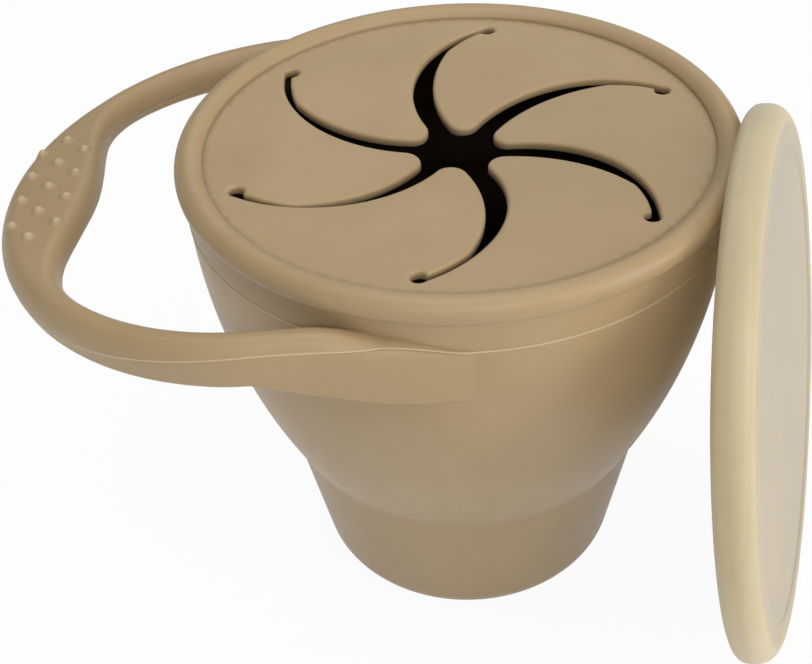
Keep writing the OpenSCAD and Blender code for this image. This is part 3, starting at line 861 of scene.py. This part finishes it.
def tone_cover(obj):
    """Marks how warm the plastic looks: 1 on the pale face, RING_TONE in the border ring, 0 at the edge."""
    back = cover_place().inverted()
    flat = COVER_R - COVER_EDGE
    tone = []
    for v in obj.data.vertices:
        p = back @ (v.co / MM)
        r = math.hypot(p.x, p.y)
        if r < flat + 0.1:
            tone.append(1.0 - (1.0 - RING_TONE) * smooth((r - flat + RING_WIDTH) / TONE_EASE))
        else:
            tone.append(RING_TONE * smooth(1 - (r - flat) / TONE_EASE))
    mark(obj.data, "tone", tone)


tone_cover(cover)
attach(cover, "cover")
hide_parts("dust_cover")


# ---- floor, light and camera

FLOOR_R, FLOOR_SIDES, FLOOR_DROP = 4.0, 64, 0.00005
BACKDROP_SHARE = 0.94
WORLD_LEVEL = 0.19
LIGHTS_AIM = (0, 0, 0.06)

# name, place in metres, size in metres, power in watts
LIGHTS = (
    ("key", (0.62, -0.55, 0.88), (0.6, 0.6), 2.7),
    ("front", (0.05, -1.0, 0.75), (0.7, 0.4), 4.3),
    ("right", (1.1, -0.42, 0.4), (0.5, 0.5), 5.4),
    ("top", (-0.1, 0.1, 1.3), (0.8, 0.8), 5.6),
    ("back", (0.1, 0.9, 0.7), (0.8, 0.5), 1.3))

# The camera of the photograph, fitted to the outlines of the cup
CAMERA_LENS = 62.61
CAMERA_AT = (4.953, -208.635, 220.819)
CAMERA_RIGHT = (0.99813, 0.03560, -0.04880)
CAMERA_AHEAD = (-0.05856, 0.76882, -0.63680)


def floor_material():
    """A pale floor that reads as the white backdrop, and keeps a faint shadow of the object."""
    m, t = new_material("floor_white")
    out = node(t, "ShaderNodeOutputMaterial", (600, 0))
    diffuse = node(t, "ShaderNodeBsdfDiffuse", (0, 0), Color=(0.86, 0.86, 0.86, 1))
    glow = node(t, "ShaderNodeEmission", (0, -200), Color=(1, 1, 1, 1), Strength=1.0)
    path = node(t, "ShaderNodeLightPath", (-600, 200))
    seen = node(t, "ShaderNodeMath", (-400, 200), operation="MAXIMUM")
    seen_all = node(t, "ShaderNodeMath", (-250, 200), operation="MAXIMUM")
    share = node(t, "ShaderNodeMath", (-100, 200), operation="MULTIPLY")
    share.inputs[1].default_value = BACKDROP_SHARE
    mix = node(t, "ShaderNodeMixShader", (300, 0))
    link(t, (
        (path.outputs["Is Camera Ray"], seen.inputs[0]),
        (path.outputs["Is Glossy Ray"], seen.inputs[1]),
        (seen.outputs[0], seen_all.inputs[0]),
        (path.outputs["Is Transmission Ray"], seen_all.inputs[1]),
        (seen_all.outputs[0], share.inputs[0]),
        (share.outputs[0], mix.inputs[0]),
        (diffuse.outputs[0], mix.inputs[1]),
        (glow.outputs[0], mix.inputs[2]),
        (mix.outputs[0], out.inputs["Surface"])))
    return m


def make_floor():
    me = bpy.data.meshes.new("studio_floor")
    turns = [2 * math.pi * i / FLOOR_SIDES for i in range(FLOOR_SIDES)]
    verts = [(FLOOR_R * math.cos(a), FLOOR_R * math.sin(a), -FLOOR_DROP) for a in turns]
    me.from_pydata(verts, [], [tuple(range(FLOOR_SIDES))])
    obj = bpy.data.objects.new("studio_floor", me)
    bpy.context.collection.objects.link(obj)
    me.materials.append(floor_material())


def make_world():
    world = bpy.data.worlds.new("studio")
    bpy.context.scene.world = world
    world.use_nodes = True
    t = world.node_tree
    t.nodes.clear()
    out = node(t, "ShaderNodeOutputWorld", (600, 0))
    lit = node(t, "ShaderNodeBackground", (0, 0), Color=(1, 1, 1, 1), Strength=WORLD_LEVEL)
    seen = node(t, "ShaderNodeBackground", (0, -200), Color=(1, 1, 1, 1), Strength=1.0)
    path = node(t, "ShaderNodeLightPath", (-300, 200))
    mix = node(t, "ShaderNodeMixShader", (300, 0))
    link(t, (
        (path.outputs["Is Camera Ray"], mix.inputs[0]),
        (lit.outputs[0], mix.inputs[1]),
        (seen.outputs[0], mix.inputs[2]),
        (mix.outputs[0], out.inputs["Surface"])))


def area(name, at, size, power):
    light = bpy.data.lights.new(name, "AREA")
    light.shape = "RECTANGLE"
    light.size, light.size_y = size
    light.energy = power
    obj = bpy.data.objects.new(name, light)
    bpy.context.collection.objects.link(obj)
    obj.location = at
    obj.rotation_euler = (Vector(LIGHTS_AIM) - Vector(at)).to_track_quat("-Z", "Y").to_euler()


def make_camera():
    cam = bpy.data.cameras.new("photo_camera")
    cam.sensor_width = 36.0
    cam.lens = CAMERA_LENS
    cam.clip_start, cam.clip_end = 0.01, 20.0
    obj = bpy.data.objects.new("photo_camera", cam)
    bpy.context.collection.objects.link(obj)
    right = Vector(CAMERA_RIGHT).normalized()
    ahead = Vector(CAMERA_AHEAD).normalized()
    up = right.cross(ahead).normalized()
    right = ahead.cross(up)
    place = Matrix((right, up, -ahead)).transposed().to_4x4()
    place.translation = Vector(CAMERA_AT) * MM
    obj.matrix_world = place
    bpy.context.scene.camera = obj


make_floor()
make_world()
for lamp in LIGHTS:
    area(*lamp)
make_camera()
bpy.context.scene.view_settings.view_transform = "Standard"
